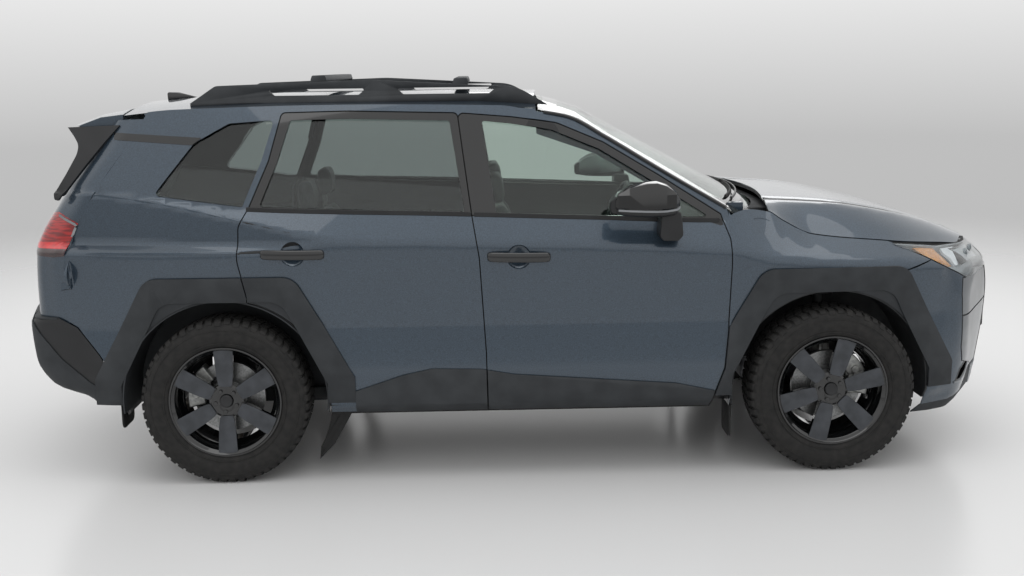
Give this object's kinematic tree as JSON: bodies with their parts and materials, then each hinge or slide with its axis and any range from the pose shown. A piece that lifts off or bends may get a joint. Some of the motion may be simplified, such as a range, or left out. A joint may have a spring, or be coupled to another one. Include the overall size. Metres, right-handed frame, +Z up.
{
  "type": "off-road vehicle",
  "caption": "Five-door off-road estate car with raised ride, roof rails, dark cladding, opening doors, bonnet and tailgate, and steering front wheels.",
  "frame": {"origin": "on the ground, below the middle of the car's length and width", "axes": "+X forward, +Y to the car's left, +Z up"},
  "size_m": [4.5882, 2.1096, 1.7799],
  "materials": {
    "body_paint": "metallic gloss",
    "side_glass": "clear green tint",
    "dark_glass": "dark tint",
    "cladding": "fine grain matte",
    "flap_rubber": "matte",
    "gloss_black": "gloss",
    "silver_trim": "satin silver",
    "lamp_red": "clear red lens",
    "lamp_clear": "clear lens",
    "bare_steel": "satin primer",
    "cast_steel": "cast",
    "engine_metal": "cast",
    "exhaust_steel": "rolled",
    "seat_fabric": "woven",
    "cabin_plastic": "grained",
    "tyre_rubber": "moulded",
    "wheel_alloy": "satin dark paint"
  },
  "bodies": {
    "body": {"body_sides": "body_paint", "roof_panel": "body_paint", "front_wings": "body_paint", "front_bumper": "body_paint", "quarter_glass": "dark_glass", "windscreen": "side_glass", "arch_flares": "cladding", "rear_bumper": "cladding", "mud_flaps": "flap_rubber", "front_grille": "gloss_black", "front_guard": "silver_trim", "roof_rack": "cladding", "roof_fin": "gloss_black", "tail_lamps": "lamp_red", "headlamps": "lamp_clear", "front_structure": "bare_steel", "floor_pan": "bare_steel", "front_suspension": "cast_steel", "rear_suspension": "cast_steel", "engine_block": "engine_metal", "exhaust": "exhaust_steel", "front_seats": "seat_fabric", "rear_bench": "seat_fabric", "dashboard": "cabin_plastic", "steering_wheel": "cabin_plastic"},
    "door_front_left": {"door_front_left": "body_paint", "door_glass_front_left": "side_glass", "door_cladding_front_left": "cladding", "mirror_left": "gloss_black"},
    "door_front_right": {"door_front_right": "body_paint", "door_glass_front_right": "side_glass", "door_cladding_front_right": "cladding", "mirror_right": "gloss_black"},
    "door_rear_left": {"door_rear_left": "body_paint", "door_glass_rear_left": "dark_glass", "door_cladding_rear_left": "cladding"},
    "door_rear_right": {"door_rear_right": "body_paint", "door_glass_rear_right": "dark_glass", "door_cladding_rear_right": "cladding"},
    "bonnet": {"bonnet": "body_paint"},
    "tailgate": {"tailgate": "body_paint", "tailgate_glass": "dark_glass", "rear_spoiler": "body_paint"},
    "knuckle_left": {"knuckle_left": "cast_steel"},
    "knuckle_right": {"knuckle_right": "cast_steel"},
    "wheel_front_left": {"tyre_front_left": "tyre_rubber", "rim_front_left": "wheel_alloy"},
    "wheel_rear_left": {"tyre_rear_left": "tyre_rubber", "rim_rear_left": "wheel_alloy"},
    "wheel_front_right": {"tyre_front_right": "tyre_rubber", "rim_front_right": "wheel_alloy"},
    "wheel_rear_right": {"tyre_rear_right": "tyre_rubber", "rim_rear_right": "wheel_alloy"}
  },
  "joints": [
    {"name": "door_front_left_hinge", "type": "hinge", "parent": "body", "child": "door_front_left", "pos_m": [0.912, 0.927, 0.75], "axis": [0, 0, -1], "range_deg": [0, 65]},
    {"name": "door_rear_left_hinge", "type": "hinge", "parent": "body", "child": "door_rear_left", "pos_m": [-0.162, 0.927, 0.75], "axis": [0, 0, -1], "range_deg": [0, 65]},
    {"name": "steer_left", "type": "hinge", "parent": "body", "child": "knuckle_left", "pos_m": [1.375, 0.742, 0.222], "axis": [0, -0.2197, 0.9756], "range_deg": [-30, 30]},
    {"name": "wheel_front_left_spin", "type": "hinge", "parent": "knuckle_left", "child": "wheel_front_left", "pos_m": [1.375, 0.81, 0.3695], "axis": [0, 1, 0], "continuous": true},
    {"name": "wheel_rear_left_spin", "type": "hinge", "parent": "body", "child": "wheel_rear_left", "pos_m": [-1.315, 0.81, 0.3695], "axis": [0, 1, 0], "continuous": true},
    {"name": "door_front_right_hinge", "type": "hinge", "parent": "body", "child": "door_front_right", "pos_m": [0.912, -0.927, 0.75], "axis": [0, 0, 1], "range_deg": [0, 65]},
    {"name": "door_rear_right_hinge", "type": "hinge", "parent": "body", "child": "door_rear_right", "pos_m": [-0.162, -0.927, 0.75], "axis": [0, 0, 1], "range_deg": [0, 65]},
    {"name": "steer_right", "type": "hinge", "parent": "body", "child": "knuckle_right", "pos_m": [1.375, -0.742, 0.222], "axis": [0, 0.2197, 0.9756], "range_deg": [-30, 30]},
    {"name": "wheel_front_right_spin", "type": "hinge", "parent": "knuckle_right", "child": "wheel_front_right", "pos_m": [1.375, -0.81, 0.3695], "axis": [0, 1, 0], "continuous": true},
    {"name": "wheel_rear_right_spin", "type": "hinge", "parent": "body", "child": "wheel_rear_right", "pos_m": [-1.315, -0.81, 0.3695], "axis": [0, 1, 0], "continuous": true},
    {"name": "bonnet_hinge", "type": "hinge", "parent": "body", "child": "bonnet", "pos_m": [1.107, 0, 1.13], "axis": [0, -1, 0], "range_deg": [0, 50]},
    {"name": "tailgate_hinge", "type": "hinge", "parent": "body", "child": "tailgate", "pos_m": [-1.745, 0, 1.655], "axis": [0, 1, 0], "range_deg": [0, 75]}
  ],
  "couplings": [
    {"joint": "steer_right", "follows": "steer_left", "ratio": 1}
  ]
}
